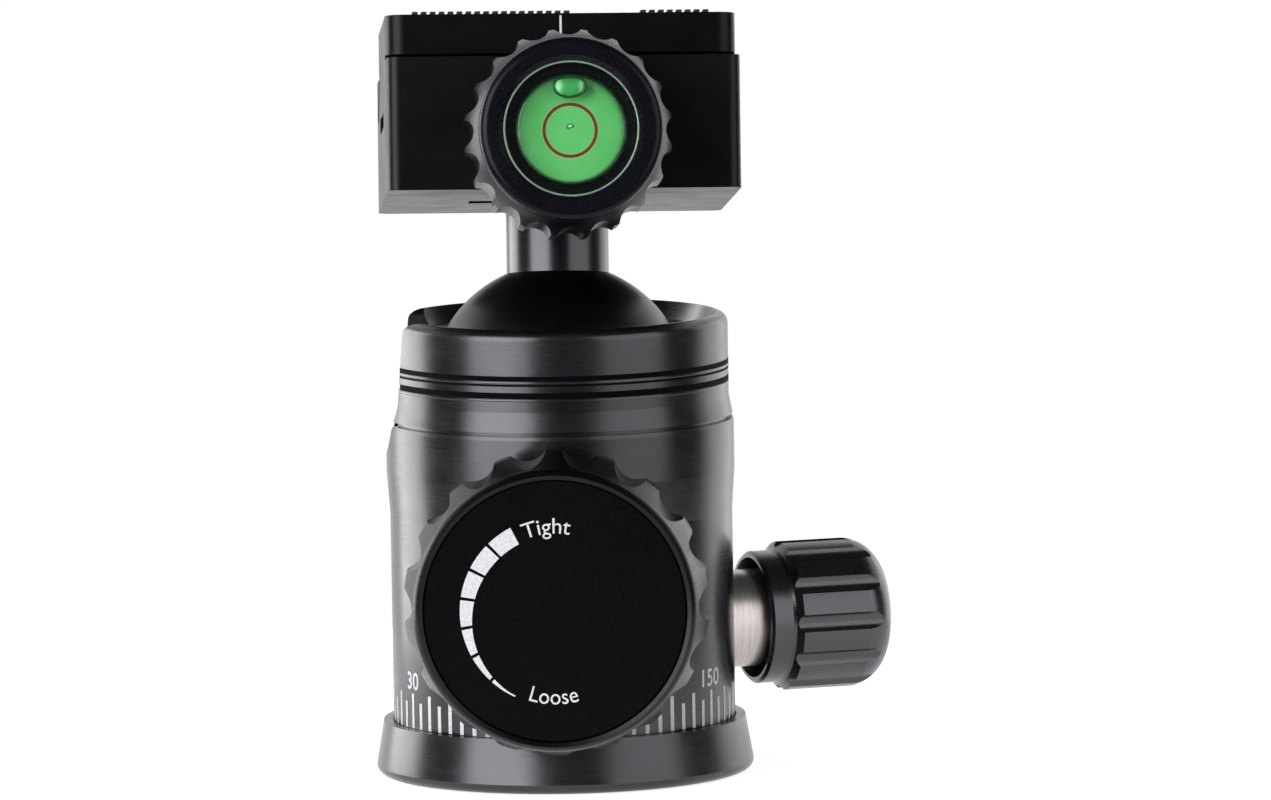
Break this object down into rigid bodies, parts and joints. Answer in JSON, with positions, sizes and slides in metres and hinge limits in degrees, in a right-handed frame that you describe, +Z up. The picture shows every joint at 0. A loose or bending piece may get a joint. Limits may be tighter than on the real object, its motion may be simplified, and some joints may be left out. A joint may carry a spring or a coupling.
{
  "type": "tripod ball head",
  "caption": "Ball head that carries a camera on a tripod: a locking ball with a drop notch, a panning base, and a dovetail clamp with a quick-release plate and a level.",
  "frame": {"origin": "mouth of the tripod thread, in the middle of the underside of the base", "axes": "+Z up along the pan axis, -Y toward the main locking knob, -X toward the drop notch"},
  "size_m": [0.0713, 0.077, 0.1059],
  "materials": {
    "black_base": "satin black anodised",
    "black_housing": "satin black anodised, fine turning lines",
    "black_ring": "matte black",
    "black_ball": "smooth black hard anodised",
    "grey_stem": "satin dark grey",
    "black_clamp": "matt black, blasted",
    "black_plate": "matt black, blasted",
    "black_knob": "satin black anodised",
    "black_cap": "fine textured black",
    "black_rubber": "ribbed black rubber",
    "nickel": "satin nickel",
    "steel": "plain steel",
    "grey_metal": "machined",
    "brass": "machined",
    "white_plastic": "low-friction plastic",
    "clear_plastic": "polished clear acrylic",
    "green_plastic": "bright green with a dark red ring",
    "bubble_air": "bubble in the liquid"
  },
  "bodies": {
    "base": {"base_ring": "black_base", "thread_insert": "steel", "pan_spindle": "grey_metal", "base_screws": "steel", "glide_washer": "white_plastic"},
    "panning_housing": {"housing": "black_housing", "seat_ring": "black_ring", "pan_retainer": "grey_metal", "retainer_screws": "steel", "main_bushing": "black_housing", "pan_bushing": "nickel"},
    "lower_cup": {"ball_cup": "grey_metal"},
    "liner": {"ball_liner": "white_plastic"},
    "ball": {"ball": "black_ball"},
    "head": {"stem": "grey_stem", "clamp_body": "black_clamp", "stem_screw": "steel", "guide_pins": "steel"},
    "wedge": {"main_wedge": "steel"},
    "main_knob": {"main_shaft": "steel", "main_knob": "black_knob", "main_knob_cap": "black_cap"},
    "pan_brake": {"pan_shoe": "brass"},
    "pan_knob": {"pan_shaft": "steel", "pan_knob": "black_knob", "pan_knob_cap": "black_cap"},
    "jaw": {"movable_jaw": "black_clamp"},
    "clamp_knob": {"clamp_screw": "steel", "clamp_knob": "black_knob", "level_vial": "clear_plastic", "level_disc": "green_plastic", "level_bubble": "bubble_air"},
    "plate": {"quick_plate": "black_plate", "pad_left": "black_rubber", "pad_right": "black_rubber"},
    "screw_washer": {"screw_washer": "steel"},
    "camera_screw": {"camera_screw": "steel"}
  },
  "joints": [
    {"name": "pan_turn", "type": "hinge", "parent": "base", "child": "panning_housing", "pos_m": [0, 0, 0], "axis": [0, 0, 1], "continuous": true},
    {"name": "side_tilt", "type": "hinge", "parent": "panning_housing", "child": "liner", "pos_m": [0, 0, 0.0522], "axis": [1, 0, 0], "range_deg": [-21.3, 38.7]},
    {"name": "notch_tilt", "type": "hinge", "parent": "liner", "child": "ball", "pos_m": [0, 0, 0.0522], "axis": [0, -0.9885, 0.1513], "range_deg": [-30, 90]},
    {"name": "head_spin", "type": "hinge", "parent": "ball", "child": "head", "pos_m": [0, 0, 0.0522], "axis": [0, 0.1513, 0.9885], "continuous": true},
    {"name": "wedge_slide", "type": "slide", "parent": "panning_housing", "child": "wedge", "axis": [0, -1, 0], "range_m": [0, 0.00125]},
    {"name": "main_knob_turn", "type": "hinge", "parent": "wedge", "child": "main_knob", "pos_m": [0, 0, 0.027], "axis": [0, -1, 0], "range_deg": [0, 360]},
    {"name": "cup_lift", "type": "slide", "parent": "panning_housing", "child": "lower_cup", "axis": [0, 0, -1], "range_m": [0, 0.000455]},
    {"name": "brake_slide", "type": "slide", "parent": "panning_housing", "child": "pan_brake", "axis": [0.9397, 0.342, 0], "range_m": [0, 0.001]},
    {"name": "pan_knob_turn", "type": "hinge", "parent": "pan_brake", "child": "pan_knob", "pos_m": [0, 0, 0.0195], "axis": [0.9397, 0.342, 0], "range_deg": [0, 360]},
    {"name": "jaw_travel", "type": "slide", "parent": "head", "child": "jaw", "axis": [0.0698, -0.9861, 0.1509], "range_m": [0, 0.003]},
    {"name": "clamp_knob_turn", "type": "hinge", "parent": "jaw", "child": "clamp_knob", "pos_m": [0.00188, -0.0216, 0.08909], "axis": [0.0698, -0.9861, 0.1509], "range_deg": [0, 1080]},
    {"name": "plate_slide", "type": "slide", "parent": "head", "child": "plate", "axis": [0.9976, 0.069, -0.0106], "range_m": [-0.03, 0.03]},
    {"name": "camera_screw_lift", "type": "slide", "parent": "plate", "child": "screw_washer", "axis": [0, 0.1513, 0.9885], "range_m": [0, 0.005]},
    {"name": "camera_screw_turn", "type": "hinge", "parent": "screw_washer", "child": "camera_screw", "pos_m": [0.00618, 0.00814, 0.10255], "axis": [0, 0.1513, 0.9885], "continuous": true}
  ],
  "couplings": [
    {"joint": "wedge_slide", "follows": "main_knob_turn", "m_per_rad": 0.00019894},
    {"joint": "cup_lift", "follows": "main_knob_turn", "m_per_rad": 0.000072415},
    {"joint": "brake_slide", "follows": "pan_knob_turn", "m_per_rad": 0.00015915},
    {"joint": "jaw_travel", "follows": "clamp_knob_turn", "m_per_rad": 0.00015915}
  ]
}
